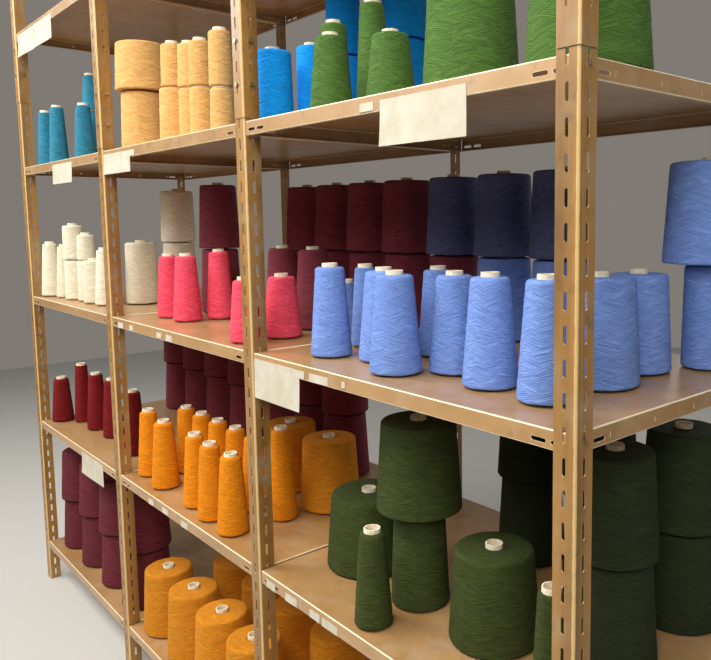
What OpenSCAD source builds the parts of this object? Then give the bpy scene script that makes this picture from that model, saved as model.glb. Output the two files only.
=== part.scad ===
// Three-bay yarn storage rack: slotted angle posts, folded steel shelves and its stock of wound cones.
// X runs along the rack, -Y is the open front and Z is up. The origin is at floor level, centred.

/* [Rack] */
// Distance from one post corner to the next along the rack
bay_w = 970; // [700:5:1200]
// Depth from the front posts' outer face to the back posts' outer face
rack_d = 708; // [680:2:900]
// Number of the slot that carries the lowest shelf, counted from 0 at the floor
first_slot = 3; // [2:1:5]
// Slot pitches between one shelf and the next
level_step = 11; // [10:1:14]
// How far a shelf's top sits above the centre of the slot that carries it
slot_to_top = 2.5; // [0:0.5:6]
// How far the lower posts stand above the top shelf
post_over = 19; // [6:1:200]
// How far the upper posts stand above the lower ones
upper_rise = 200; // [100:5:600]
// Height of the upper posts' lower end above the fourth shelf, sleeved outside the lower posts
splice_rise = 9; // [6:1:16]
// The same for the two upper posts at the far left
far_splice_rise = 271; // [200:1:300]

/* [Posts] */
// Width of each flange of the slotted angle
flange = 42; // [38:1:48]
// Sheet thickness of the angle
angle_t = 2; // [1.5:0.1:2.5]
// Outer bend radius of the angle
bend_r = 5; // [3.5:0.5:7]
// Distance between slot centres
slot_pitch = 50; // [45:1:60]
// Length of a post slot
slot_len = 28.5; // [24:0.5:34]
// How much wider than the bolts the slots are
slot_play = 0.6; // [0.2:0.1:2]
// Height of the lowest slot's centre
slot_z0 = 28.5; // [22:0.5:34]
// Distance of the slots from the post's corner
slot_in = 22; // [19:0.5:25]
// Height of the opening left where the upper and the lower posts' slots lie over each other
pass_h = 8; // [7:0.5:12]

/* [Shelves] */
// Height of the folded lip
lip_h = 33; // [28:1:38]
// Sheet thickness of a shelf
shelf_t = 1.2; // [0.8:0.1:1.6]
// Outer radius of the folds
fold_r = 2.6; // [2:0.1:4]
// Width of the return under each lip
return_w = 11; // [8:1:14]
// Gap between a shelf's end and a post's flange
shelf_gap = 4.8; // [4.8:0.1:6]
// Length of a lip slot
lip_slot_len = 30; // [24:1:32]
// Height of a lip slot
lip_slot_h = 7; // [6:0.5:8]
// Distance from the shelf's end to the first lip slot
lip_slot_in = 12; // [8:1:16]
// Gap between the two lip slots
lip_slot_gap = 9.5; // [7:0.5:12]
// Depth of the lip slots' centre line below the shelf's top
lip_slot_drop = 20.5; // [16:0.5:22]
// Number of small upright slots along an end lip
ticks = 5; // [3:1:9]
// Width of a small upright slot
tick_w = 3; // [2:0.5:5]
// Height of a small upright slot
tick_h = 9; // [6:0.5:10]
// Height of the small slots' centre above that of the long ones
tick_up = 1.5; // [0:0.5:3]
// Distance from the long slots to the first small one
tick_in = 12.5; // [6:0.5:40]

/* [Clips and bolts] */
// Sheet thickness of a shelf clip
clip_t = 2.5; // [2:0.1:2.6]
// Width of a clip's seat
clip_w = 18; // [14:1:24]
// Reach of a clip's seat under the shelf
clip_reach = 17; // [14:1:20]
// Clearance under and over a clip's tongue in its slot
tongue_play = 0.5; // [0.2:0.1:1.5]
// Thickness of a clip's tongue
tongue_t = 4.5; // [3:0.5:6]
// Diameter of the splice bolts
bolt_d = 6; // [5:0.5:7]
// Length of bolt that shows past its nut
bolt_end = 1.5; // [0.5:0.5:6]
// Least height of a splice bolt above the upper post's lower end
bolt_edge = 30; // [20:1:50]
// Width across the flats of bolt heads and nuts
bolt_af = 10; // [8:1:12]
// Height of a bolt head
head_h = 4; // [3:0.5:5]
// Height of a nut
nut_h = 5; // [4:0.5:6]

/* [Yarn cones] */
// Wall of the paper tubes
tube_t = 3; // [2:0.5:4]
// Outer radius of a paper tube at its nose
tube_nose_r = 18; // [16:0.5:19]
// Outer radius of a paper tube at its base
tube_base_r = 27; // [24:0.5:28]
// Height of bare tube above the yarn
tube_top = 9; // [5:0.5:14]
// Height of bare tube below the yarn
tube_foot = 4; // [2:0.5:8]
// Rounding of the wound edges
wound_r = 8; // [4:0.5:9]
// Base radius of a tall cone's winding
tall_base_r = 54; // [48:1:60]
// Shoulder radius of a tall cone's winding
tall_top_r = 38; // [34:1:46]
// Height of a tall cone's winding
tall_h = 208; // [190:1:225]
// Base radius of a slim cone's winding
slim_base_r = 40; // [38:1:45]
// Shoulder radius of a slim cone's winding
slim_top_r = 27; // [26:1:32]
// Base radius of a straight bobbin's winding
bobbin_base_r = 40; // [39:1:44]
// Shoulder radius of a straight bobbin's winding
bobbin_top_r = 37; // [34:1:40]
// Height of a straight bobbin's winding
bobbin_h = 160; // [140:1:175]
// Base radius of a large package's winding
large_base_r = 92; // [80:1:96]
// Shoulder radius of a large package's winding
large_top_r = 80; // [70:1:88]
// Height of a large package's winding
large_h = 208; // [180:1:215]

/* [Cards] */
// Thickness of the label cards
card_t = 0.8; // [0.5:0.1:1]
// Width of a small card
card_w = 42; // [30:1:60]
// Height of a small card
card_h = 18; // [14:1:26]
// How far a card's top hangs below the shelf's top
card_drop = 13; // [6:1:14]

/* [Hidden] */
bays = 3;
levels = 5;
slot_w = bolt_d + slot_play;
slot_shift = slot_len - pass_h;
slot_edge = 4;
tongue_h = pass_h - 2 * tongue_play;
splice_slots = [1, 3];
rack_w = bays * bay_w + flange + angle_t + head_h;
post_h = level_z(levels) + post_over;
rack_h = post_h + upper_rise;
steel = [0.76, 0.58, 0.36];
shelf_paint = [0.70, 0.53, 0.34];
zinc = [0.72, 0.70, 0.64];
paper = [0.93, 0.88, 0.76];

// Places worked out from the sizes above
function post_x(i) = -rack_w / 2 + flange + (i - 1) * bay_w;
function along(b, share) = post_x(b) + bay_w * share / 100;
// The slot that a shelf's clips hook into is the one just under the shelf's top
function clip_slot(k) = slot_z0 + (first_slot + (k - 1) * level_step) * slot_pitch;
function level_z(k) = clip_slot(k) + slot_to_top;
function splice_of(i) = level_z(4) + (i == 1 ? far_splice_rise : splice_rise);
function slots_between(z0, lo, hi) =
    [for (n = [0:ceil(hi / slot_pitch)]) let (z = z0 + n * slot_pitch)
        if (z - slot_len / 2 > lo + slot_edge && z + slot_len / 2 < hi - slot_edge) z];
// Each splice bolt passes where a lower and an upper slot lie over each other
function joint_z(i, n) =
    slot_z0 + slot_pitch * (ceil((splice_of(i) - slot_z0 + bolt_edge) / slot_pitch) + n) - slot_shift / 2;

module slot_2d(length, width) {
    straight = (length - width) / 2;
    square([width, 2 * straight], center = true);
    for (s = [-1, 1]) translate([0, s * straight]) circle(d = width, $fn = 32);
}

// One flange as a flat strip in the XZ plane, its outer face on y = 0
module flange_strip(lo, hi, zs, inset) {
    rotate([90, 0, 0]) translate([0, 0, -angle_t]) linear_extrude(angle_t) difference() {
        translate([-flange, lo]) square([flange - bend_r, hi - lo]);
        for (z = zs) translate([-inset, z]) slot_2d(slot_len, slot_w);
    }
}

// A slotted angle with its corner on the Z axis, one flange to -X and one to +Y
module slotted_angle(lo, hi, zs, inset) {
    flange_strip(lo, hi, zs, inset);
    mirror([1, 1, 0]) flange_strip(lo, hi, zs, inset);
    translate([-bend_r, bend_r, lo]) linear_extrude(hi - lo) difference() {
        intersection() {
            circle(r = bend_r, $fn = 48);
            translate([0, -bend_r]) square(bend_r);
        }
        circle(r = bend_r - angle_t, $fn = 48);
    }
}

// A post's place: side is -1 at the front and 1 at the back, which is its mirror image
module at_post(i, side, out = 0) {
    translate([post_x(i) + out, side * (rack_d / 2 + out), 0])
        if (side < 0) children(); else mirror([0, 1, 0]) children();
}

module lower_post(i, side) {
    color(steel) at_post(i, side) slotted_angle(0, post_h, slots_between(slot_z0, 0, post_h), slot_in);
}

module upper_post(i, side) {
    z0 = splice_of(i);
    color(steel) at_post(i, side, angle_t)
        slotted_angle(z0, rack_h, slots_between(slot_z0 - slot_shift, z0, rack_h), slot_in + angle_t);
}

// Section of a folded lip, its top outer edge at the origin and the shelf towards +X
module lip_2d() {
    in_r = fold_r - shelf_t;
    translate([0, -lip_h + fold_r]) square([shelf_t, lip_h - 2 * fold_r]);
    for (top = [0, 1]) translate([fold_r, top ? -fold_r : -lip_h + fold_r]) difference() {
        intersection() {
            circle(r = fold_r, $fn = 32);
            translate([-fold_r, top ? 0 : -fold_r]) square(fold_r);
        }
        circle(r = in_r, $fn = 32);
    }
    translate([fold_r, -lip_h]) square([return_w - fold_r, shelf_t]);
}

module lip_slots(run) {
    for (s = [-1, 1]) for (n = [0, 1])
        translate([s * (run / 2 - lip_slot_in - lip_slot_len / 2 - n * (lip_slot_len + lip_slot_gap)), 0])
            rotate(90) slot_2d(lip_slot_len, lip_slot_h);
}

// One lip along X with its slots, on the tray's front edge at y = -reach; small asks for the small slots too
module lip(run, reach, small) {
    tick_run = run / 2 - lip_slot_in - 2 * lip_slot_len - lip_slot_gap - tick_in;
    difference() {
        translate([-run / 2 + fold_r, -reach, 0]) rotate([90, 0, 90])
            linear_extrude(run - 2 * fold_r) lip_2d();
        translate([0, -reach + fold_r, -lip_slot_drop]) rotate([90, 0, 0]) linear_extrude(2 * fold_r) {
            lip_slots(run);
            if (small) for (n = [0:ticks - 1])
                translate([(2 * n / (ticks - 1) - 1) * tick_run, tick_up])
                    square([tick_w, tick_h], center = true);
        }
    }
}

module shelf(b, k) {
    run = bay_w - angle_t - 2 * shelf_gap;
    deep = rack_d - 2 * angle_t;
    mid_x = (post_x(b) + post_x(b + 1) - angle_t) / 2;
    color(shelf_paint) translate([mid_x, 0, level_z(k)]) {
        translate([-run / 2 + fold_r, -deep / 2 + fold_r, -shelf_t])
            cube([run - 2 * fold_r, deep - 2 * fold_r, shelf_t]);
        for (a = [0, 180]) rotate(a) lip(run, deep / 2, false);
        for (a = [90, 270]) rotate(a) lip(deep, run / 2, true);
    }
}

// Seat and web of a clip on the face x = 0 of a flange, facing +X
module clip_side(tongue_z, seat_z) {
    translate([0, -clip_w / 2, seat_z - clip_t]) {
        cube([clip_t, clip_w, tongue_z + tongue_h - seat_z + clip_t]);
        cube([clip_reach, clip_w, clip_t]);
    }
}

module shelf_clip(i, side, k) {
    seat = level_z(k) - lip_h;
    hook = clip_slot(k) - slot_len / 2 + tongue_play;
    sleeve = hook > splice_of(i) ? angle_t : 0;
    reach_r = i <= bays ? clip_t / 2 : head_h;
    reach_l = i > 1 ? clip_t / 2 : head_h;
    at_post(i, side) translate([0, slot_in, 0]) {
        translate([-angle_t - reach_l, -tongue_t / 2, hook])
            cube([angle_t + sleeve + reach_l + reach_r, tongue_t, tongue_h]);
        if (i <= bays) translate([sleeve, 0, 0]) clip_side(hook, seat);
        if (i > 1) translate([-angle_t, 0, 0]) mirror([1, 0, 0]) clip_side(hook, seat);
    }
}

module shelf_clips() {
    color(zinc) for (i = [1:bays + 1]) for (side = [-1, 1]) for (k = [1:levels]) shelf_clip(i, side, k);
}

// Runs its children at every splice bolt, looking in from each flange's outer face along +Z
module at_splices() {
    for (i = [1:bays + 1]) for (side = [-1, 1]) for (n = splice_slots) at_post(i, side, angle_t) {
        translate([-slot_in - angle_t, 0, joint_z(i, n)]) rotate([-90, 0, 0]) children();
        translate([0, slot_in + angle_t, joint_z(i, n)]) rotate([0, -90, 0]) children();
    }
}

module splice_bolts() {
    color(zinc) at_splices() {
        translate([0, 0, -head_h]) cylinder(d = bolt_af / cos(30), h = head_h, $fn = 6);
        cylinder(d = bolt_d, h = 2 * angle_t + nut_h + bolt_end, $fn = 32);
    }
}

module splice_nuts() {
    color(zinc) at_splices() translate([0, 0, 2 * angle_t]) difference() {
        cylinder(d = bolt_af / cos(30), h = nut_h, $fn = 6);
        translate([0, 0, -1]) cylinder(d = bolt_d, h = nut_h + 2, $fn = 32);
    }
}

// Cards as [bay, level, place along the bay in percent, times a small card's width, times its height]
big_cards = [
    [1, 5, 3.2, 5.5, 4.9], [1, 5, 27.6, 5.4, 4.9], [1, 4, 41.5, 5.6, 4.1], [2, 4, 0.8, 5.5, 3.6],
    [3, 4, 53.2, 5.4, 4.7], [3, 3, 0.8, 4.8, 5.3], [1, 2, 57.3, 5.6, 4.5]];
strip_cards = [
    [2, 4, 23.6, 1.1, 1], [3, 4, 46.8, 1, 0.9], [3, 3, 20.2, 0.81, 1], [3, 3, 25.8, 1.7, 1],
    [3, 3, 38.4, 0.29, 0.7], [2, 3, 6.2, 1, 1], [2, 3, 16.5, 0.71, 0.9], [2, 3, 39.2, 0.81, 0.9],
    [2, 3, 46.4, 1, 1], [2, 2, 25.8, 0.95, 1], [2, 2, 37.1, 1, 0.9], [2, 2, 51.5, 1, 1],
    [3, 2, 3.1, 1, 1.05], [3, 2, 12.4, 1.2, 1.05], [3, 2, 23.3, 0.95, 1], [3, 2, 28.5, 1.4, 1.05]];

module cards(list) {
    color(paper) for (c = list) let (h = c[4] * card_h)
        translate([along(c[0], c[2]), -rack_d / 2 + angle_t - card_t, level_z(c[1]) - card_drop - h])
            cube([c[3] * card_w, card_t, h]);
}

// Points of a quarter round about c from angle a0 to a1
function quarter(c, r, a0, a1) = [for (s = [0:4]) let (a = a0 + (a1 - a0) * s / 4) c + r * [cos(a), sin(a)]];
function tube_r(h, z) = tube_base_r + (tube_nose_r - tube_base_r) * z / (h + tube_foot + tube_top);

// A winding h tall: base radius rb, shoulder radius rt, on a tapered tube that it fits exactly. Its
// base edge is rounded less than its shoulder
module winding(rb, rt, h) {
    lean = atan((rb - rt) / h);
    rnd = min(wound_r, rt - tube_r(h, h) - 1, h / 3);
    base_rnd = 0.6 * rnd;
    z0 = tube_foot;
    translate([0, 0, z0]) rotate_extrude($fn = 64) polygon(concat(
        [[tube_r(h, z0), 0]],
        quarter([rb - base_rnd, base_rnd], base_rnd, -90, lean),
        quarter([rt - rnd, h - rnd], rnd, lean, 90),
        [[tube_r(h, z0 + h), h]]));
}

module tube(h) {
    full = h + tube_foot + tube_top;
    rotate_extrude($fn = 64) polygon([
        [tube_base_r, 0], [tube_nose_r, full], [tube_nose_r - tube_t, full], [tube_base_r - tube_t, 0]]);
}

// A stock entry is [bay, level, place along the bay in percent, place in from the front in percent, height
// of what is under it, base radius, shoulder radius, winding height]
tall = [tall_base_r, tall_top_r, tall_h];
slim = [slim_base_r, slim_top_r, tall_h];
bobbin = [bobbin_base_r, bobbin_top_r, bobbin_h];
large = [large_base_r, large_top_r, large_h];
function scaled(form, r, h) = [form[0] * r, form[1] * r, form[2] * h];
ecru_low = scaled(bobbin, 1.53, 1.46);
wine_large = scaled(large, 0.87, 1.02);
function put(b, k, x, y, under, form) = [b, k, x, y, under, form[0], form[1], form[2]];
// Two packages on one spot: the upper tube's foot slips over the lower nose and rests on its winding
function pile(b, k, x, y, low, high) =
    [put(b, k, x, y, 0, low), put(b, k, x, y, low[2] + tube_foot, high)];

teal = concat(
    [put(1, 4, 7.2, 10.6, 0, scaled(slim, 0.9, 1.07)), put(1, 4, 19, 12.7, 0, scaled(slim, 0.95, 1.12)),
     put(1, 4, 25.5, 27, 0, slim), put(1, 4, 55.5, 11.6, 0, scaled(slim, 0.95, 0.96))],
    pile(1, 4, 40.5, 22.5, scaled(slim, 0.95, 0.97), scaled(slim, 0.85, 0.64)));
white = concat(
    [put(1, 3, 6, 9.3, 0, scaled(slim, 1.05, 1.07)), put(1, 3, 16.7, 13, 0, scaled(slim, 0.95, 1.02)),
     put(1, 3, 51.5, 14.1, 0, scaled(bobbin, 1.03, 1.03)), put(1, 3, 61.9, 15.5, 0, scaled(slim, 1.02, 1))],
    pile(1, 3, 29.5, 13.4, scaled(bobbin, 1.03, 0.99), scaled(bobbin, 1.05, 0.86)),
    pile(1, 3, 40.6, 15.5, scaled(bobbin, 0.99, 0.99), scaled(bobbin, 0.89, 0.63)));
red = [put(1, 2, 6.8, 10.7, 0, scaled(slim, 1.12, 0.88)), put(1, 2, 15.5, 19.1, 0, scaled(slim, 0.9, 1.18)),
       put(1, 2, 32.6, 19.9, 0, scaled(slim, 1.05, 1.1)), put(1, 2, 49.5, 21.2, 0, scaled(slim, 1.05, 1.1)),
       put(1, 2, 79.7, 17.8, 0, scaled(slim, 1.02, 1.12))];
burgundy = [for (x = [13.4, 38.1, 62.9, 85.6]) each pile(1, 1, x, 17.8, large, large)];
straw = concat(
    pile(2, 4, 11.9, 13.5, scaled(bobbin, 1.72, 1.11), scaled(bobbin, 2, 0.94)),
    pile(2, 4, 34, 15.5, scaled(bobbin, 1.14, 1.03), scaled(bobbin, 0.9, 0.8)),
    pile(2, 4, 43.7, 16.9, scaled(bobbin, 0.9, 0.95), scaled(bobbin, 0.86, 0.79)),
    pile(2, 4, 53.6, 15.5, scaled(bobbin, 0.9, 0.89), scaled(bobbin, 0.85, 0.79)),
    pile(2, 4, 66.5, 15.5, scaled(bobbin, 0.86, 0.78), scaled(bobbin, 0.84, 0.93)));
ecru = concat([put(1, 3, 67, 32.5, 0, ecru_low)], pile(1, 3, 82.3, 45, ecru_low, scaled(bobbin, 1.57, 1.18)));
pink = [put(2, 3, 17.4, 19, 0, scaled(tall, 0.77, 0.96)), put(2, 3, 30.9, 19.3, 0, scaled(tall, 0.84, 0.98)),
        put(2, 3, 33, 33.8, 0, scaled(tall, 0.82, 1.03)), put(2, 3, 84, 9.6, 0, scaled(tall, 0.8, 0.77)),
        put(2, 3, 83.5, 25.5, 0, scaled(tall, 0.98, 0.78))];
wine = concat(
    pile(2, 3, 14.5, 47, scaled(large, 0.76, 1.04), scaled(large, 0.76, 1.04)),
    [for (p = [[59, 46], [75.5, 47]]) put(2, 3, p[0], p[1], 0, scaled(tall, 1.1, 1.1))],
    [for (x = [33.5, 52.2, 70.9, 89.6]) each pile(2, 3, x, 82, wine_large, wine_large)],
    [put(3, 3, 10.1, 82.6, 0, wine_large)],
    [for (x = [20, 42, 64, 86]) each pile(1, 2, x, 80, wine_large, wine_large)],
    [for (x = [14, 34, 54]) each pile(2, 2, x, 82, wine_large, wine_large)]);
amber = concat(
    [put(2, 2, 7.4, 11.3, 0, scaled(slim, 1.02, 1.05)), put(2, 2, 23.2, 9.9, 0, scaled(slim, 1.12, 1.02)),
     put(2, 2, 46.8, 10.3, 0, scaled(slim, 1.02, 1.04)), put(2, 2, 59.6, 8.8, 0, scaled(slim, 1.05, 1.04)),
     put(2, 2, 73.6, 8.5, 0, scaled(slim, 1.1, 1.04)), put(2, 2, 74.4, 30.4, 0, scaled(slim, 1.05, 1.26))],
    [for (x = [13.4, 25.8, 38.1, 50.5, 62.4]) put(2, 2, x, 26.8, 0, scaled(slim, 1.08, 1.06))]);
amber_large = concat(
    [for (p = [[75.3, 52.9], [51.5, 53.7]]) put(2, 2, p[0], p[1], 0, large)],
    [for (x = [10.8, 31.7, 52.6, 73.5]) put(2, 1, x, 15.8, 0, scaled(large, 0.98, 1.03))],
    [for (x = [20.6, 42.3, 63.9, 85.6]) put(2, 1, x, 45.2, 0, large)],
    [for (x = [12.4, 35.1, 57.7, 80.4]) put(3, 1, x, 17.7, 0, large)]);
azure = concat(
    [put(2, 4, 91.2, 18.5, 0, scaled(bobbin, 1.26, 1.17)),
     put(2, 4, 91.5, 34.5, 0, scaled(bobbin, 1.04, 1.34))],
    pile(2, 4, 78.3, 62, scaled(bobbin, 1.32, 1.46), scaled(bobbin, 1.32, 1.2)),
    pile(2, 4, 91, 80, scaled(bobbin, 1.7, 1.72), scaled(bobbin, 1.7, 1.2)));
leaf = [put(3, 4, 19.1, 17.2, 0, scaled(tall, 0.93, 0.83)), put(3, 4, 6.4, 30.5, 0, scaled(tall, 0.83, 1.15)),
        put(3, 4, 17.2, 36, 0, scaled(slim, 1.1, 1.31)), put(3, 4, 35.1, 24, 0, scaled(tall, 1.06, 0.76)),
        put(3, 4, 55.9, 30, 0, scaled(large, 1.08, 1)), put(3, 4, 86.6, 27.4, 0, scaled(large, 1.18, 1))];
cornflower = concat(
    [put(3, 3, 17.8, 16.1, 0, scaled(tall, 0.9, 0.99)), put(2, 3, 94.6, 45, 0, scaled(slim, 0.9, 0.69)),
     put(3, 3, 12.4, 36, 0, scaled(slim, 0.98, 0.94)), put(3, 3, 31.4, 23.8, 0, scaled(tall, 1.1, 0.96)),
     put(3, 3, 44.6, 13.7, 0, scaled(tall, 1.03, 0.97)), put(3, 3, 35.6, 42, 0, scaled(tall, 0.9, 0.95)),
     put(3, 3, 53, 26.8, 0, scaled(tall, 1.02, 0.96)), put(3, 3, 67.8, 20.6, 0, scaled(tall, 1.01, 0.99)),
     put(3, 3, 83.2, 18.6, 0, scaled(tall, 0.99, 1.01)), put(3, 3, 81.6, 43, 0, scaled(large, 0.85, 0.98)),
     put(3, 3, 79.5, 66.2, 0, scaled(large, 0.75, 0.96))],
    [for (x = [29.7, 49.3]) put(3, 3, x, 82.6, 0, wine_large)],
    pile(3, 3, 88.2, 84.5, scaled(bobbin, 1.3, 1.34), scaled(large, 1.03, 1)));
navy = [for (x = [10.1, 29.7, 49.3]) put(3, 3, x, 82.6, wine_large[2] + tube_foot, wine_large)];
spruce = concat(
    [put(3, 2, 15.8, 32.4, 0, scaled(large, 1.18, 0.88)), put(3, 2, 40.4, 8.2, 0, scaled(slim, 1.05, 0.97)),
     put(3, 2, 62.6, 29.5, 0, scaled(large, 1.04, 0.92)),
     put(3, 2, 86.2, 16, 0, scaled(slim, 0.93, 1.04))],
    pile(3, 2, 39.8, 27.8, scaled(large, 0.73, 1.03), scaled(large, 1.06, 0.97)));
spruce_large = concat(
    pile(3, 2, 84, 46.6, scaled(large, 0.95, 1), scaled(large, 0.95, 1)),
    [for (x = [42, 63.9, 85.6]) each pile(3, 2, x, 79.1, scaled(large, 0.95, 1), scaled(large, 0.95, 1))]);
stock = concat(teal, white, red, burgundy, straw, ecru, pink, wine, amber, amber_large, azure, leaf,
               cornflower, navy, spruce, spruce_large);

module at_entry(e) {
    translate([along(e[0], e[2]), rack_d * (e[3] / 100 - 0.5), level_z(e[1]) + e[4]]) children();
}

module lot(list, hue) {
    color(hue) for (e = list) at_entry(e) winding(e[5], e[6], e[7]);
}

module paper_tubes(b) {
    color(paper) for (e = stock) if (e[0] == b) at_entry(e) tube(e[7]);
}

for (i = [1:4]) {
    lower_post(i, -1);
    lower_post(i, 1);
    upper_post(i, -1);
    upper_post(i, 1);
}
for (b = [1:3]) for (k = [1:5]) shelf(b, k);
shelf_clips();
splice_bolts();
splice_nuts();
cards(big_cards);  // shelf_cards
cards(strip_cards);  // small_cards
lot(teal, [0.10, 0.42, 0.50]);  // teal_yarn
lot(white, [0.93, 0.92, 0.87]);  // white_yarn
lot(red, [0.62, 0.07, 0.12]);  // red_yarn
lot(burgundy, [0.36, 0.08, 0.15]);  // burgundy_yarn
lot(straw, [0.95, 0.76, 0.48]);  // straw_yarn
lot(ecru, [0.80, 0.77, 0.70]);  // ecru_yarn
lot(pink, [0.80, 0.14, 0.30]);  // pink_yarn
lot(wine, [0.40, 0.07, 0.13]);  // wine_yarn
lot(amber, [0.90, 0.52, 0.08]);  // amber_yarn
lot(amber_large, [0.85, 0.50, 0.12]);  // amber_packages
lot(azure, [0.05, 0.50, 0.85]);  // azure_yarn
lot(leaf, [0.25, 0.42, 0.14]);  // leaf_yarn
lot(cornflower, [0.38, 0.52, 0.86]);  // cornflower_yarn
lot(navy, [0.16, 0.20, 0.36]);  // navy_yarn
lot(spruce, [0.17, 0.25, 0.12]);  // spruce_yarn
lot(spruce_large, [0.13, 0.18, 0.13]);  // spruce_packages
for (b = [1:3]) paper_tubes(b);
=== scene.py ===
import math
import bpy
import numpy as np
from mathutils import Matrix, Vector


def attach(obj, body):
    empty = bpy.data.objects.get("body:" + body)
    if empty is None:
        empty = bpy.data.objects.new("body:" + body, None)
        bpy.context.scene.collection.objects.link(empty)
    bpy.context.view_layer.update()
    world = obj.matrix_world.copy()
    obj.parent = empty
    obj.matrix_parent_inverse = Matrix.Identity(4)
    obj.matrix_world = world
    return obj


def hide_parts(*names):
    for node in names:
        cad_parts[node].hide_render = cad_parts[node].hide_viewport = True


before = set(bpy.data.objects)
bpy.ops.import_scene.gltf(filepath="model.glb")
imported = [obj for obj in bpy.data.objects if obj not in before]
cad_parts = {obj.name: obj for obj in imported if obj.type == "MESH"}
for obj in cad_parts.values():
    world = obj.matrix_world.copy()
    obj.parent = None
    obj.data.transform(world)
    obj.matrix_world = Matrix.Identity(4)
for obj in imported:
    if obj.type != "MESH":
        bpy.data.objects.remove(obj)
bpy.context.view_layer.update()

# A yarn store's rack: slotted-angle posts, folded steel shelves, and cones of knitting yarn on paper tubes
print("frame loaded,", len(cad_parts), "nodes")


# Turns an sRGB hex colour into the linear values that the shaders work in, by the sRGB curve
def linear(code):
    srgb = np.array([int(code[i:i + 2], 16) for i in (1, 3, 5)]) / 255
    low = srgb / 12.92
    high = ((srgb + 0.055) / 1.055) ** 2.4
    return (*np.where(srgb <= 0.04045, low, high), 1.0)


# Adds a node. inputs maps a socket's name or number to a value, to a node's output, or to a node, which then
# gives its first output
def addNode(tree, kind, inputs=None, **settings):
    made = tree.nodes.new(kind)
    for name, value in settings.items():
        setattr(made, name, value)
    for name, value in (inputs or {}).items():
        if isinstance(value, bpy.types.Node):
            value = value.outputs[0]
        if isinstance(value, bpy.types.NodeSocket):
            tree.links.new(value, made.inputs[name])
        else:
            made.inputs[name].default_value = value
    return made


def newMaterial(name):
    made = bpy.data.materials.new(name)
    made.use_nodes = True
    made.node_tree.nodes.clear()
    return made, made.node_tree


# Gives a CAD node's object one material in all its slots
def paint(nodeName, material):
    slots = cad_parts[nodeName].material_slots
    if len(slots) == 0:
        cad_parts[nodeName].data.materials.append(material)
    for slot in slots:
        slot.material = material


# The camera stands where the photograph was taken; the shift is its crop's off-centre middle
view = {
    "eye": (2.1265, -1.2173, 1.6001),
    "yaw": 47.399,   # degrees to the left of the +Y direction
    "pitch": 5.937,  # degrees downwards
    "roll": -0.484,
    "lens": 37.71,   # mm, on a sensor this wide:
    "sensor": 36,
    "shift": (-0.12296, -0.0477),
}


def placeCamera():
    yaw, pitch, roll = (math.radians(view[k]) for k in ("yaw", "pitch", "roll"))
    ahead = Vector((-math.sin(yaw) * math.cos(pitch), math.cos(yaw) * math.cos(pitch), -math.sin(pitch)))
    level = Vector((math.cos(yaw), math.sin(yaw), 0))
    upright = level.cross(ahead)
    right = level * math.cos(roll) + upright * math.sin(roll)
    up = upright * math.cos(roll) - level * math.sin(roll)
    data = bpy.data.cameras.new("camera")
    data.lens = view["lens"]
    data.sensor_width = view["sensor"]
    data.shift_x, data.shift_y = view["shift"]
    camera = bpy.data.objects.new("camera", data)
    turn = Matrix((right, up, -ahead)).transposed().to_4x4()
    camera.matrix_world = Matrix.Translation(view["eye"]) @ turn
    bpy.context.scene.collection.objects.link(camera)
    bpy.context.scene.camera = camera


placeCamera()
print("camera placed")


# Stove-enamelled sheet steel: a satin golden-tan coat, rubbed pale along cut edges, with a painted highlight
# along folds
# and grey smudges. streak: cells of mottling in a metre, in x, y and z; edge: metres that a rim's wear
# reaches
# rubbed_and_highlight: the pale colour of worn rims, and of the painted highlight along folds
enamel = {
    "post": {
        "coat": "#a87b3f", "deep": "#7e5b2d", "rubbed_and_highlight": "#e0bc7c", "smudge": "#a08a68", "stain": "#5f4526",
        "roughness": 0.40, "varnish": 0.15, "streak": (14, 14, 0.9), "dust": 0.6, "grime": 0.45,
        "edge": 0.0016, "rim": 0.15,
    },
    "shelf": {
        "coat": "#b68e5e", "deep": "#a07847", "rubbed_and_highlight": "#f6e4bc", "smudge": "#bba78e", "stain": "#664a29",
        "roughness": 0.33, "varnish": 0.30, "streak": (2.5, 5, 5), "dust": 0.35, "grime": 0.3,
        "edge": 0.0022, "rim": 0.28,
    },
}
# Wear on both coats, and a painted highlight along their folds. A scale is the noise's cells in a metre, with
# the size of one in mm behind it, and from and to are the values between which a mark comes in
wear = {
    "mottle": {"scale": 1.0, "from": 0.34, "to": 0.58},
    "smudge": {"scale": 11.0, "from": 0.53, "to": 0.71},   # dust, 90 mm
    "stain": {"scale": 24.0, "from": 0.44, "to": 0.30},    # handling, 40 mm
    "scratch_and_highlight": {"scale": 45.0, "from": 0.03, "to": 0.15, "share": 0.92},   # worn rims and the painted highlight on folds, broken along an edge, 22 mm
    "rim": {"from": 0.99, "to": 0.75},     # cosine between a face and its rounded normal
    "rub": {"scale": (60, 5, 20), "from": 0.35, "to": 0.65, "shinier": 0.03, "duller": 0.05},
    "peel": {"scale": 420.0, "strength": 0.05, "height": 0.0005},   # orange peel of a sprayed coat, 2 mm
}


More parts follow.
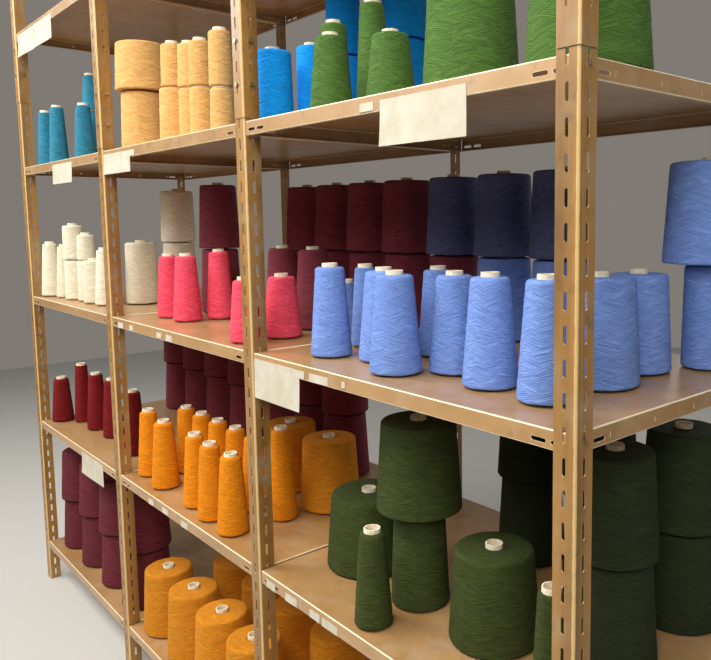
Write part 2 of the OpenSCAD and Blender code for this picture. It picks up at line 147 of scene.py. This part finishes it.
def enamelledSteel(name, look):
    made, tree = newMaterial(name)
    place = addNode(tree, "ShaderNodeTexCoord").outputs["Object"]
    # drawn-out mottling of the coat, tens of centimetres long
    drawn = addNode(tree, "ShaderNodeMapping", {"Vector": place, "Scale": look["streak"]})
    mottle = addNode(tree, "ShaderNodeTexNoise", {
        "Vector": drawn, "Scale": wear["mottle"]["scale"], "Detail": 6.0, "Roughness": 0.62})
    light = addNode(tree, "ShaderNodeMapRange", {
        "Value": mottle, "From Min": wear["mottle"]["from"], "From Max": wear["mottle"]["to"]})
    body = addNode(tree, "ShaderNodeMix", {0: light, 6: linear(look["deep"]), 7: linear(look["coat"])},
                   data_type="RGBA").outputs[2]
    # smudges of dust, and darker stains over them
    cloud = addNode(tree, "ShaderNodeTexNoise", {
        "Vector": place, "Scale": wear["smudge"]["scale"], "Detail": 4.0})
    dust = addNode(tree, "ShaderNodeMapRange", {
        "Value": cloud, "From Min": wear["smudge"]["from"], "From Max": wear["smudge"]["to"],
        "To Max": look["dust"]})
    dusty = addNode(tree, "ShaderNodeMix", {0: dust, 6: body, 7: linear(look["smudge"])},
                    data_type="RGBA").outputs[2]
    spots = addNode(tree, "ShaderNodeTexNoise", {
        "Vector": place, "Scale": wear["stain"]["scale"], "Detail": 5.0, "Roughness": 0.65})
    grime = addNode(tree, "ShaderNodeMapRange", {
        "Value": spots, "From Min": wear["stain"]["from"], "From Max": wear["stain"]["to"],
        "To Max": look["grime"]})
    smudged = addNode(tree, "ShaderNodeMix", {0: grime, 6: dusty, 7: linear(look["stain"])},
                      data_type="RGBA").outputs[2]
    # painted highlight on folds and bends: there the normal leans between two axes, so the products of its
    # parts aren't zero
    normal = addNode(tree, "ShaderNodeNewGeometry").outputs["Normal"]
    parts = addNode(tree, "ShaderNodeSeparateXYZ", {0: normal}).outputs
    foldHighlight = 0.0
    for a, b in (("X", "Y"), ("Y", "Z"), ("X", "Z")):
        product = addNode(tree, "ShaderNodeMath", {0: parts[a], 1: parts[b]}, operation="MULTIPLY")
        size = addNode(tree, "ShaderNodeMath", {0: product}, operation="ABSOLUTE")
        foldHighlight = addNode(tree, "ShaderNodeMath", {0: foldHighlight, 1: size}, operation="ADD")
    # cut edges and slot rims: there a rounded normal turns away from the face's own
    rounded = addNode(tree, "ShaderNodeBevel", {"Radius": look["edge"]}, samples=6)
    facing = addNode(tree, "ShaderNodeVectorMath", {0: rounded, 1: normal},
                     operation="DOT_PRODUCT").outputs["Value"]
    rim = addNode(tree, "ShaderNodeMapRange", {
        "Value": facing, "From Min": wear["rim"]["from"], "From Max": wear["rim"]["to"],
        "To Max": look["rim"]})
    scratch_and_highlight = addNode(tree, "ShaderNodeTexNoise", {
        "Vector": place, "Scale": wear["scratch_and_highlight"]["scale"], "Detail": 3.0})
    # the pale mark is wear on cut edges and slot rims, and a painted highlight along folds, broken by noise
    edges = addNode(tree, "ShaderNodeMath", {0: foldHighlight, 1: rim}, operation="MAXIMUM")
    wornAndHighlight = addNode(tree, "ShaderNodeMath", {0: edges, 1: scratch_and_highlight}, operation="MULTIPLY")
    bareAndHighlight = addNode(tree, "ShaderNodeMapRange", {
        "Value": wornAndHighlight, "From Min": wear["scratch_and_highlight"]["from"], "From Max": wear["scratch_and_highlight"]["to"],
        "To Max": wear["scratch_and_highlight"]["share"]})
    coloured = addNode(tree, "ShaderNodeMix", {0: bareAndHighlight, 6: smudged, 7: linear(look["rubbed_and_highlight"])},
                       data_type="RGBA").outputs[2]
    # rub marks: thin streaks from front to back that are a little duller or shinier
    slid = addNode(tree, "ShaderNodeMapping", {"Vector": place, "Scale": wear["rub"]["scale"]})
    rubs = addNode(tree, "ShaderNodeTexNoise", {"Vector": slid, "Scale": 1.0, "Detail": 6.0})
    gloss = addNode(tree, "ShaderNodeMapRange", {
        "Value": rubs, "From Min": wear["rub"]["from"], "From Max": wear["rub"]["to"],
        "To Min": look["roughness"] - wear["rub"]["shinier"],
        "To Max": look["roughness"] + wear["rub"]["duller"]})
    peel = addNode(tree, "ShaderNodeTexNoise", {
        "Vector": place, "Scale": wear["peel"]["scale"], "Detail": 2.0})
    bump = addNode(tree, "ShaderNodeBump", {
        "Height": peel, "Strength": wear["peel"]["strength"], "Distance": wear["peel"]["height"]})
    shader = addNode(tree, "ShaderNodeBsdfPrincipled", {
        "Base Color": coloured, "Roughness": gloss, "Normal": bump,
        "Metallic": 0.0, "IOR": 1.52, "Coat Weight": look["varnish"], "Coat Roughness": 0.25})
    addNode(tree, "ShaderNodeOutputMaterial", {"Surface": shader})
    return made


postEnamel = enamelledSteel("enamelled_post_steel", enamel["post"])
shelfEnamel = enamelledSteel("enamelled_shelf_steel", enamel["shelf"])
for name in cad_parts:
    if "_post_" in name:
        paint(name, postEnamel)
    if name.startswith("shelf_") and name[6].isdigit():
        paint(name, shelfEnamel)

# Bright zinc plate on pressed clips and M6 bolts: a soft metal sheen with a faint bloom, in cells
# of 6 mm
zinc = {"bright": "#d6d0c0", "dull": "#a69c88", "roughness": 0.34, "shinier": 0.08, "duller": 0.12,
        "bloom": 160.0}


def zincPlate(name):
    made, tree = newMaterial(name)
    place = addNode(tree, "ShaderNodeTexCoord").outputs["Object"]
    bloom = addNode(tree, "ShaderNodeTexNoise", {"Vector": place, "Scale": zinc["bloom"], "Detail": 4.0})
    colour = addNode(tree, "ShaderNodeMix", {0: bloom, 6: linear(zinc["dull"]), 7: linear(zinc["bright"])},
                     data_type="RGBA").outputs[2]
    gloss = addNode(tree, "ShaderNodeMapRange", {
        "Value": bloom, "From Min": 0.0, "From Max": 1.0,
        "To Min": zinc["roughness"] - zinc["shinier"], "To Max": zinc["roughness"] + zinc["duller"]})
    shader = addNode(tree, "ShaderNodeBsdfPrincipled", {
        "Base Color": colour, "Metallic": 1.0, "Roughness": gloss})
    addNode(tree, "ShaderNodeOutputMaterial", {"Surface": shader})
    return made


zincPlated = zincPlate("zinc_plate")
for name in ("shelf_clips", "splice_bolts", "splice_nuts"):
    paint(name, zincPlated)

# Uncoated paper, matt and faintly fibrous: spiral-wound tubes in cream board, and label card in white.
# grain: cells of the fibres' noise in a metre, 5 mm each on a tube and 33 mm of cloudiness on a card;
# mix: noise values between which the light colour takes over
papers = {
    "tube": {"light": "#f6ecd2", "dark": "#dcc9a2", "grain": 190.0, "mix": (0.30, 0.62)},
    "card": {"light": "#ccc4b2", "dark": "#bfb69c", "grain": 30.0, "mix": (0.35, 0.70)},
}


def paperBoard(name, look):
    made, tree = newMaterial(name)
    place = addNode(tree, "ShaderNodeTexCoord").outputs["Object"]
    fibre = addNode(tree, "ShaderNodeTexNoise", {"Vector": place, "Scale": look["grain"], "Detail": 5.0})
    pale = addNode(tree, "ShaderNodeMapRange", {
        "Value": fibre, "From Min": look["mix"][0], "From Max": look["mix"][1]})
    colour = addNode(tree, "ShaderNodeMix", {0: pale, 6: linear(look["dark"]), 7: linear(look["light"])},
                     data_type="RGBA").outputs[2]
    bump = addNode(tree, "ShaderNodeBump", {"Height": fibre, "Strength": 0.15, "Distance": 0.0004})
    shader = addNode(tree, "ShaderNodeBsdfPrincipled", {
        "Base Color": colour, "Roughness": 0.82, "IOR": 1.47, "Normal": bump})
    addNode(tree, "ShaderNodeOutputMaterial", {"Surface": shader})
    return made


tubeBoard = paperBoard("cream_tube_board", papers["tube"])
cardBoard = paperBoard("white_label_card", papers["card"])
for bay in (1, 2, 3):
    paint(f"paper_tubes_{bay}", tubeBoard)
print("steel, zinc and board finished")


# Knitting yarn, matt and soft, cross-wound: each lot has the colour of its dye, drawn lighter as a painted
# highlight on the strands' tops and darker as painted shade between them, and its strands lie in crossing
# bands with a fine lattice between them
winding = {
    "strand": 0.0036,    # metres between strands; a real one is 1.5 mm, drawn as coarse as the render shows
    "angle": 14.0,       # degrees between a strand and the level
    "lattice": 0.074,    # height of one diamond where the bands cross
    "diamonds": 3,       # diamonds round a package
    "relief": 0.0005,    # depth of the bands in the surface
    "swell": (0.7, 0.3, 0.3),      # shares of the bands, of finer ripples, and of how far both are sunk
    "ends": 0.012,       # metres from the tube over which the relief comes in
    "turned": (2.4, 0.37),         # how far the next package is turned: bands in radians, diamonds in cells
    "crowded": 0.3,      # share of a step: nearer to a corner than this, the step gives way to it
    "wander": 0.3,       # strands that a strand strays from its line
    "strays": 34.0,      # cells of that in a metre, 30 mm each
    "patches": 9.0,      # patches of flecks in a metre, 110 mm each
    "flecks": (1.15, 0.22, 9.0),   # across a strand, along it, and how soon patches change
    "middle": 0.62,      # share of the painted highlight on the whole, against the painted shade
    "shares": (0.34, 1.75),        # of the strands' painted shade and highlight, and of the flecks'
    "crossing": {"ragged": 1.6, "from": 0.55, "to": 1.05},     # where one band dives under the other
    "painted_glint": {"from": 0.8, "to": 1.1, "glint": 1.2},   # painted glint: strands that stand proud are drawn brighter
    "bump": {"strength": 0.85, "height": 0.0015},
    "batch": (0.93, 1.05),         # brightness of a lot's darkest and lightest package
}
lots = {
    # node: (dye with painted highlight on a strand's top, dye in painted shade between strands, steps round,
    # steps along)
    "cornflower_yarn": ("#819fdd", "#5470b4", 80, 48),
    "leaf_yarn": ("#557a33", "#314c1d", 84, 52),
    "spruce_yarn": ("#414c1c", "#1f270c", 84, 52),
    "azure_yarn": ("#08a4ff", "#037bcf", 84, 52),
    "pink_yarn": ("#ff5a70", "#c73048", 84, 52),
    "amber_yarn": ("#ee9003", "#be6a00", 84, 52),
    "straw_yarn": ("#eaba73", "#b98444", 72, 40),
    "teal_yarn": ("#368aa4", "#1d5b6f", 56, 32),
    "white_yarn": ("#efe6cd", "#cdc19f", 56, 32),
    "ecru_yarn": ("#e4d8bf", "#bcad90", 56, 32),
    "red_yarn": ("#821215", "#480608", 56, 32),
    "burgundy_yarn": ("#722a33", "#421419", 56, 32),
    "wine_yarn": ("#8c3b46", "#501f28", 54, 30),
    "amber_packages": ("#de8e1c", "#a6650d", 56, 32),
    "navy_yarn": ("#63698e", "#3a4064", 56, 32),
    "spruce_packages": ("#2c361b", "#171d0d", 56, 32),
}


# Strands rise in one diamond of the lattice and fall in the next. In each direction, with t across the
# strands and l along them, a fine wave draws the strands and noise drawn out along l breaks them into flecks,
# as painted shade between strands and in dark flecks, and a painted highlight on their tops and in light
# flecks:
# tone = middle + a sin(2 pi t) / 2 + c (noise(t, l) - 1/2)
def woundYarn(name, light, dark):
    made, tree = newMaterial(name)
    strands = addNode(tree, "ShaderNodeUVMap", uv_map="strands")
    lattice = addNode(tree, "ShaderNodeUVMap", uv_map="lattice")
    strand = addNode(tree, "ShaderNodeSeparateXYZ", {0: strands}).outputs
    cell = addNode(tree, "ShaderNodeSeparateXYZ", {0: lattice}).outputs
    place = addNode(tree, "ShaderNodeTexCoord").outputs["Object"]
    stray = addNode(tree, "ShaderNodeTexNoise", {"Vector": place, "Scale": winding["strays"], "Detail": 3.0})
    patch = addNode(tree, "ShaderNodeTexNoise", {"Vector": place, "Scale": winding["patches"], "Detail": 2.0})
    a, c = winding["shares"]
    tones, slopes = [], []
    for sign in (-1.0, 1.0):
        leaning = addNode(tree, "ShaderNodeMath", {0: strand["X"], 1: sign, 2: strand["Y"]},
                          operation="MULTIPLY_ADD")
        across = addNode(tree, "ShaderNodeMath", {0: stray, 1: winding["wander"], 2: leaning},
                         operation="MULTIPLY_ADD")
        turn = addNode(tree, "ShaderNodeMath", {0: across, 1: 2 * math.pi}, operation="MULTIPLY")
        fine = addNode(tree, "ShaderNodeMath", {0: turn}, operation="SINE")
        flat = addNode(tree, "ShaderNodeCombineXYZ", {0: across, 1: strand["X"], 2: patch})
        drawn = addNode(tree, "ShaderNodeMapping", {"Vector": flat, "Scale": winding["flecks"]})
        broken = addNode(tree, "ShaderNodeTexNoise", {
            "Vector": drawn, "Scale": 1.0, "Detail": 2.0, "Roughness": 0.6})
        fleck = addNode(tree, "ShaderNodeMath", {0: broken, 1: 0.5}, operation="SUBTRACT")
        lined = addNode(tree, "ShaderNodeMath", {0: fine, 1: a / 2, 2: winding["middle"]},
                        operation="MULTIPLY_ADD")
        tones.append(addNode(tree, "ShaderNodeMath", {0: fleck, 1: c, 2: lined}, operation="MULTIPLY_ADD"))
        band = addNode(tree, "ShaderNodeMath", {0: cell["X"], 1: sign, 2: cell["Y"]},
                       operation="MULTIPLY_ADD")
        phase = addNode(tree, "ShaderNodeMath", {0: band, 1: 2 * math.pi}, operation="MULTIPLY")
        slopes.append(addNode(tree, "ShaderNodeMath", {0: phase}, operation="SINE"))
    # the two directions change places from diamond to diamond, with a ragged edge
    diamond = addNode(tree, "ShaderNodeMath", {0: slopes[0], 1: slopes[1]}, operation="MULTIPLY")
    ragged = addNode(tree, "ShaderNodeMath", {0: stray, 1: winding["crossing"]["ragged"], 2: diamond},
                     operation="MULTIPLY_ADD")
    pick = addNode(tree, "ShaderNodeMapRange", {
        "Value": ragged, "From Min": winding["crossing"]["from"], "From Max": winding["crossing"]["to"]})
    tone = addNode(tree, "ShaderNodeMix", {0: pick, 2: tones[0], 3: tones[1]})
    # the colour runs from painted shade between strands to a painted highlight on their tops
    share = addNode(tree, "ShaderNodeMapRange", {"Value": tone, "From Min": 0.0, "From Max": 1.0})
    colour = addNode(tree, "ShaderNodeMix", {0: share, 6: linear(dark), 7: linear(light)},
                     data_type="RGBA").outputs[2]
    # a lot's packages differ a little, by the mesh's own tone
    batch = addNode(tree, "ShaderNodeAttribute", attribute_name="tone").outputs["Fac"]
    # painted glint: the colour of strands that stand proud is brightened, times each package's batch tone
    painted_glint = addNode(tree, "ShaderNodeMapRange", {
        "Value": tone, "From Min": winding["painted_glint"]["from"], "From Max": winding["painted_glint"]["to"],
        "To Min": 1.0, "To Max": winding["painted_glint"]["glint"]})
    bright = addNode(tree, "ShaderNodeMath", {0: painted_glint, 1: batch}, operation="MULTIPLY")
    colourWithGlint = addNode(tree, "ShaderNodeHueSaturation", {"Color": colour, "Value": bright})
    bump = addNode(tree, "ShaderNodeBump", {
        "Height": tone, "Strength": winding["bump"]["strength"], "Distance": winding["bump"]["height"]})
    shader = addNode(tree, "ShaderNodeBsdfPrincipled", {
        "Base Color": colourWithGlint, "Roughness": 0.88, "IOR": 1.46, "Normal": bump, "Specular IOR Level": 0.3,
        "Sheen Weight": 0.06, "Sheen Roughness": 0.5, "Sheen Tint": linear(light)})
    addNode(tree, "ShaderNodeOutputMaterial", {"Surface": shader})
    return made


# How the packages' outlines are read from the solids
outline = {
    "merge": 5,        # decimals of a metre at which points are one
    "corner": 4,       # the same for the corners of an outline
    "near": 0.0004,    # metres from the corner before it, within which a corner is dropped
    "base": 2,         # weight of height against radius that finds the inner edge of the base
    "top": 0.02,       # weight of radius against height that finds the inner edge of the top
}


# The separate solids of a CAD node, each as its points: a point takes the lowest label of its triangles
def islandsOf(nodeName):
    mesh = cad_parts[nodeName].data
    points = np.zeros(len(mesh.vertices) * 3)
    mesh.vertices.foreach_get("co", points)
    mesh.calc_loop_triangles()
    corners = np.zeros(len(mesh.loop_triangles) * 3, int)
    mesh.loop_triangles.foreach_get("vertices", corners)
    merged, index = np.unique(points.reshape(-1, 3).round(outline["merge"]), axis=0,
                              return_inverse=True)
    triangles = index.ravel()[corners].reshape(-1, 3)
    label = np.arange(len(merged))
    while True:
        lowest = label[triangles].min(axis=1)
        new = label.copy()
        for k in range(3):
            np.minimum.at(new, triangles[:, k], lowest)
        new = new[new]
        if (new == label).all():
            break
        label = new
    return [merged[label == n] for n in np.unique(label)]


# Axis and outline of a turned solid: its (radius, height) corners, from the inner base edge round the outside
# to the inner top edge
def profileOf(points):
    axis = (points[:, :2].min(0) + points[:, :2].max(0)) / 2
    radius = np.hypot(*(points[:, :2] - axis).T)
    corners = np.unique(np.c_[radius, points[:, 2]].round(outline["corner"]), axis=0)
    middle = corners.mean(0)
    angle = np.arctan2(corners[:, 1] - middle[1], corners[:, 0] - middle[0])
    corners = corners[np.argsort(angle)]
    first = np.argmin(corners[:, 0] + (corners[:, 1] - corners[:, 1].min()) * outline["base"])
    corners = np.roll(corners, -first, axis=0)
    apart = np.hypot(*np.diff(corners, axis=0, prepend=corners[-1:]).T)
    corners = corners[apart > outline["near"]]
    last = np.argmax(corners[:, 1] - outline["top"] * corners[:, 0])
    return axis, corners[:last + 1]


# One package: P(u, s) = axis + (R(s) + relief) * (cos 2 pi u, sin 2 pi u), at height Z(s), where s runs
# along the outline from the tube, under the base, up the side and over the shoulder back to the tube
def woundSurface(points, stepsRound, stepsAlong, number):
    axis, corners = profileOf(points)
    lengths = np.r_[0, np.cumsum(np.hypot(*np.diff(corners, axis=0).T))]
    even = np.linspace(0, lengths[-1], stepsAlong)
    apart = np.abs(even[:, None] - lengths[None, :]).min(1)
    s = np.sort(np.r_[lengths, even[apart > winding["crowded"] * even[1]]])
    r = np.interp(s, lengths, corners[:, 0])
    z = np.interp(s, lengths, corners[:, 1])
    slope = np.c_[np.gradient(r, s), np.gradient(z, s)]
    slope /= np.hypot(*slope.T)[:, None]
    # relief = depth * fade * (crossing bands + crossing ripples - a part that sinks both under the surface)
    u = np.arange(stepsRound) / stepsRound
    phase = 2 * math.pi * (s / winding["lattice"])[:, None]
    turn = 2 * math.pi * winding["diamonds"] * u[None, :]
    shift = number * winding["turned"][0]
    bands = np.sin(phase - turn + shift) * np.sin(phase + turn + shift)
    ripples = np.sin(2 * phase + 2 * turn + shift) * np.sin(2 * phase - 3 * turn)
    fade = np.clip(np.minimum(s, s[-1] - s) / winding["ends"], 0, 1)[:, None]
    large, small, sunk = winding["swell"]
    lift = winding["relief"] * fade * (large * bands + small * ripples - sunk)
    rr = r[:, None] + lift * slope[:, 1:2]
    zz = z[:, None] - lift * slope[:, 0:1]
    around = 2 * math.pi * u + math.pi / 2
    grid = np.stack([axis[0] + rr * np.cos(around), axis[1] + rr * np.sin(around), zz], axis=2)
    # maps: whole strands round the package and strands along it, then diamonds both ways
    angle = math.radians(winding["angle"])
    strandsRound = max(4, 2 * round(math.pi * r.max() * math.sin(angle) / winding["strand"]))
    strandsAlong = s * math.cos(angle) / winding["strand"]
    columns = np.arange(stepsRound + 1) / stepsRound
    strands = np.meshgrid(columns * strandsRound, strandsAlong)
    diamonds = np.meshgrid(columns * winding["diamonds"] + number * winding["turned"][1],
                           s / winding["lattice"])
    return {"grid": grid, "strands": np.stack(strands, axis=2), "lattice": np.stack(diamonds, axis=2)}


# Quads of a grid whose rows and columns both close round: (i, j), (i, j + 1), (i + 1, j + 1), (i + 1, j)
def gridFaces(rows, columns):
    i, j = np.meshgrid(np.arange(rows), np.arange(columns), indexing="ij")
    i, j = i.ravel(), j.ravel()
    below, above = i, (i + 1) % rows
    nextJ = (j + 1) % columns
    faces = np.c_[below * columns + j, below * columns + nextJ, above * columns + nextJ, above * columns + j]
    return faces, i, j, above


# One lot: each of its packages wound on its own solid, all in one mesh with two UV maps and the tone
def buildLot(name, light, dark, stepsRound, stepsAlong):
    rng = np.random.default_rng(sum(map(ord, name)))
    points, faces, strands, lattice, tones = [], [], [], [], []
    start = 0
    for number, island in enumerate(islandsOf(name)):
        made = woundSurface(island, stepsRound, stepsAlong, number)
        rows = made["grid"].shape[0]
        quads, i, j, above = gridFaces(rows, stepsRound)
        for key, store in (("strands", strands), ("lattice", lattice)):
            uv = made[key]
            corners = [uv[i, j], uv[i, j + 1], uv[above, j + 1], uv[above, j]]
            store.append(np.stack(corners, axis=1).reshape(-1, 2))
        points.append(made["grid"].reshape(-1, 3))
        faces.append(quads + start)
        tones.append(np.full(rows * stepsRound, rng.uniform(*winding["batch"])))
        start += rows * stepsRound
    points, faces = np.concatenate(points), np.concatenate(faces)
    mesh = bpy.data.meshes.new(name + "_wound")
    mesh.vertices.add(len(points))
    mesh.vertices.foreach_set("co", points.ravel())
    mesh.loops.add(faces.size)
    mesh.loops.foreach_set("vertex_index", faces.ravel())
    mesh.polygons.add(len(faces))
    mesh.polygons.foreach_set("loop_start", np.arange(0, faces.size, 4))
    mesh.update(calc_edges=True)
    mesh.polygons.foreach_set("use_smooth", np.ones(len(faces), bool))
    for key, store in (("strands", strands), ("lattice", lattice)):
        mesh.uv_layers.new(name=key).data.foreach_set("uv", np.concatenate(store).ravel())
    mesh.attributes.new("tone", "FLOAT", "POINT").data.foreach_set("value", np.concatenate(tones))
    mesh.validate()
    piece = bpy.data.objects.new(name + "_wound", mesh)
    bpy.context.scene.collection.objects.link(piece)
    mesh.materials.append(woundYarn(name + "_strands", light, dark))
    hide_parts(name)
    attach(piece, "root")
    return len(faces) * 2


total = 0
for name, look in lots.items():
    total += buildLot(name, *look)
print("yarn wound,", total, "triangles")

# Label cards hang bare on the lips and have curled a little, the large ones more
card = {
    "thick": 0.0008,
    "curl": 0.0042,    # metres that the foot of a large card comes forward
    "bow": 0.0012,     # metres that its middle comes forward
    "full": 0.06,      # height of a card that curls in full; a lower one curls less
    "skew": 0.45,      # share of the curl that differs from end to end
    "turn": 0.3,       # half turns by which that shifts from card to card, in threes
    "steps": 14,
}


# A card as a thin closed sheet: y(a, b) = front - curl b^2 (1 - skew + skew cos(pi (a + turn k)))
# - bow b sin(pi a), where a runs across and b down from the top edge
def curledCard(low, high, number):
    n = card["steps"]
    a, b = np.meshgrid(np.linspace(0, 1, n), np.linspace(0, 1, n))
    width, height = high[0] - low[0], high[2] - low[2]
    size = min(1, height / card["full"])
    wave = np.cos(math.pi * (a + card["turn"] * (number % 3)))
    lift = card["curl"] * size * b ** 2 * (1 - card["skew"] + card["skew"] * wave)
    lift += card["bow"] * size * np.sin(math.pi * a) * b
    x = low[0] + width * a
    z = high[2] - height * b
    back = np.stack([x, high[1] - lift, z], axis=2)
    front = back - [0, card["thick"], 0]
    return np.concatenate([front.reshape(-1, 3), back.reshape(-1, 3)])


# Front quads, back quads turned round, and the four edges between the two layers of an n by n sheet
def sheetFaces(n):
    i, j = (k.ravel() for k in np.meshgrid(np.arange(n - 1), np.arange(n - 1), indexing="ij"))
    front = np.c_[i * n + j, (i + 1) * n + j, (i + 1) * n + j + 1, i * n + j + 1]
    back = front[:, ::-1] + n * n
    k = np.arange(n - 1)
    loop = np.r_[k, (k + 1) * n - 1, n * n - 1 - k, (n - 1 - k) * n]
    following = np.roll(loop, -1)
    edges = np.c_[loop, following, following + n * n, loop + n * n]
    return np.concatenate([front, back, edges])


# All cards of one CAD node, in one mesh
def buildCards(name):
    points, faces = [], []
    n = card["steps"]
    for number, island in enumerate(islandsOf(name)):
        faces.append(sheetFaces(n) + number * 2 * n * n)
        points.append(curledCard(island.min(0), island.max(0), number))
    mesh = bpy.data.meshes.new(name + "_curled")
    mesh.from_pydata(np.concatenate(points).tolist(), [], np.concatenate(faces).tolist())
    mesh.materials.append(cardBoard)
    piece = bpy.data.objects.new(name + "_curled", mesh)
    bpy.context.scene.collection.objects.link(piece)
    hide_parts(name)
    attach(piece, "root")


for name in ("shelf_cards", "small_cards"):
    buildCards(name)
print("cards hung")

# Plain pale floor and soft light
studio = {
    "floor": "#cbc7be",   # painted concrete, pale and matt
    "side": 14.0,         # metres of floor each way
    "air": 0.15,          # the world's light on the rack
    "backdrop": "#7f7a73",    # the world as the camera sees it
    "lamps": [            # place, aim, width and height in metres, power in watts
        ((-2.9, -2.9, 3.8), (0.3, 0.0, 1.1), 2.6, 1.8, 150),
        ((3.5, -2.8, 3.6), (0.7, 0.0, 1.1), 2.4, 1.8, 92),
        ((0.3, -1.9, 3.7), (0.3, -0.2, 1.0), 4.2, 1.0, 114),
        ((0.6, 4.3, 3.0), (0.3, 0.0, 1.1), 3.4, 2.0, 40),
    ],
}


def makeFloor():
    half = studio["side"] / 2
    mesh = bpy.data.meshes.new("floor")
    corners = [(-half, -half, 0), (half, -half, 0), (half, half, 0), (-half, half, 0)]
    mesh.from_pydata(corners, [], [(0, 1, 2, 3)])
    made, tree = newMaterial("painted_concrete_floor")
    shader = addNode(tree, "ShaderNodeBsdfPrincipled", {
        "Base Color": linear(studio["floor"]), "Roughness": 0.8})
    addNode(tree, "ShaderNodeOutputMaterial", {"Surface": shader})
    mesh.materials.append(made)
    floor = bpy.data.objects.new("floor", mesh)
    bpy.context.scene.collection.objects.link(floor)


def makeWorld():
    world = bpy.data.worlds.new("studio")
    world.use_nodes = True
    tree = world.node_tree
    tree.nodes.clear()
    path = addNode(tree, "ShaderNodeLightPath")
    air = addNode(tree, "ShaderNodeBackground", {"Color": (1, 1, 1, 1), "Strength": studio["air"]})
    seen = addNode(tree, "ShaderNodeBackground", {"Color": linear(studio["backdrop"]), "Strength": 1.0})
    mixed = addNode(tree, "ShaderNodeMixShader", {0: path.outputs["Is Camera Ray"], 1: air, 2: seen})
    addNode(tree, "ShaderNodeOutputWorld", {"Surface": mixed})
    bpy.context.scene.world = world


def makeLamps():
    for number, (place, aim, width, height, power) in enumerate(studio["lamps"], 1):
        data = bpy.data.lights.new(f"softbox_{number}", "AREA")
        data.shape = "RECTANGLE"
        data.size, data.size_y, data.energy = width, height, power
        lamp = bpy.data.objects.new(f"softbox_{number}", data)
        lamp.location = place
        lamp.rotation_euler = (Vector(aim) - Vector(place)).to_track_quat("-Z", "Y").to_euler()
        bpy.context.scene.collection.objects.link(lamp)


makeFloor()
makeWorld()
makeLamps()
bpy.context.scene.view_settings.view_transform = "Standard"
print("studio lit")
